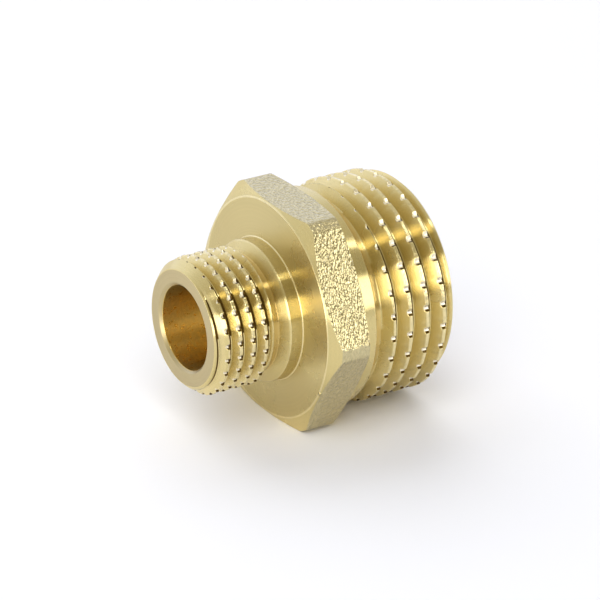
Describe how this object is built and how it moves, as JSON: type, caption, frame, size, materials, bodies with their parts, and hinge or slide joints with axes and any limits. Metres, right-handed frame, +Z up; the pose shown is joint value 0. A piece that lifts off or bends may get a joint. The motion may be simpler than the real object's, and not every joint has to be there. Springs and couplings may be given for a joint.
{
  "type": "reducing hex pipe nipple",
  "caption": "Short brass pipe nipple with a smaller and a larger male pipe thread on either side of a wrench hexagon, bored through.",
  "frame": {"origin": "centre of the bounding box in X and Y, on the floor that the lower hex flat lies on", "axes": "+X along the pipe axis from the small thread to the large thread, +Z up and square to the hex flat that it lies on, +Y to complete a right-handed frame"},
  "size_m": [0.023, 0.0236, 0.021],
  "materials": {
    "brass": "turned bright on the faces and threads, blasted on the hex flats, bare"
  },
  "bodies": {
    "root": {"nipple_body": "brass"}
  },
  "joints": []
}
